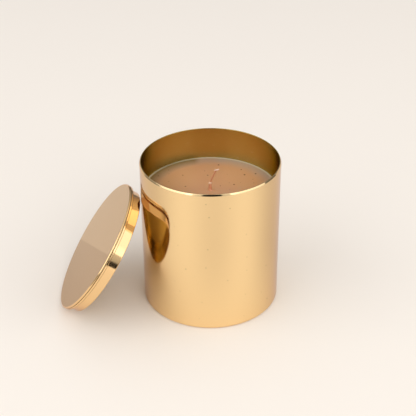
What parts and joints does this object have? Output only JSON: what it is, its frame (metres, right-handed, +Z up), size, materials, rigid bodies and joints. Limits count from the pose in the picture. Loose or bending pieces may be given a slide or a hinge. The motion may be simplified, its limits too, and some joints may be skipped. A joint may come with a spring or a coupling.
{
  "type": "candle tin",
  "caption": "Straight round gold metal tin filled with wax and a short wick, its press-in lid leaning against the outside wall.",
  "frame": {"origin": "centre of the tin's base, on the surface it stands on", "axes": "+Z up along the tin's axis; the lid leans on the tin from the -X side, and tips about a line along Y"},
  "size_m": [0.1301, 0.0843, 0.089],
  "materials": {
    "tin_metal": "semi-gloss gold lacquer",
    "lid_metal": "satin gold lacquer",
    "wax": "semi-matt poured wax",
    "wick_cotton": "wax-coated cotton braid",
    "sustainer_steel": "zinc plated",
    "sticker_foam": "foam adhesive dot"
  },
  "bodies": {
    "tin": {"vessel": "tin_metal", "wax_fill": "wax", "wick": "wick_cotton", "wick_sustainer": "sustainer_steel", "wick_sticker": "sticker_foam"},
    "lid": {"lid_plate": "lid_metal", "lid_collar": "tin_metal"}
  },
  "joints": [
    {"name": "lid_tip", "type": "hinge", "parent": "tin", "child": "lid", "pos_m": [-0.09222, -0.004, 0], "axis": [0, -1, 0], "range_deg": [0, 123.5]}
  ]
}
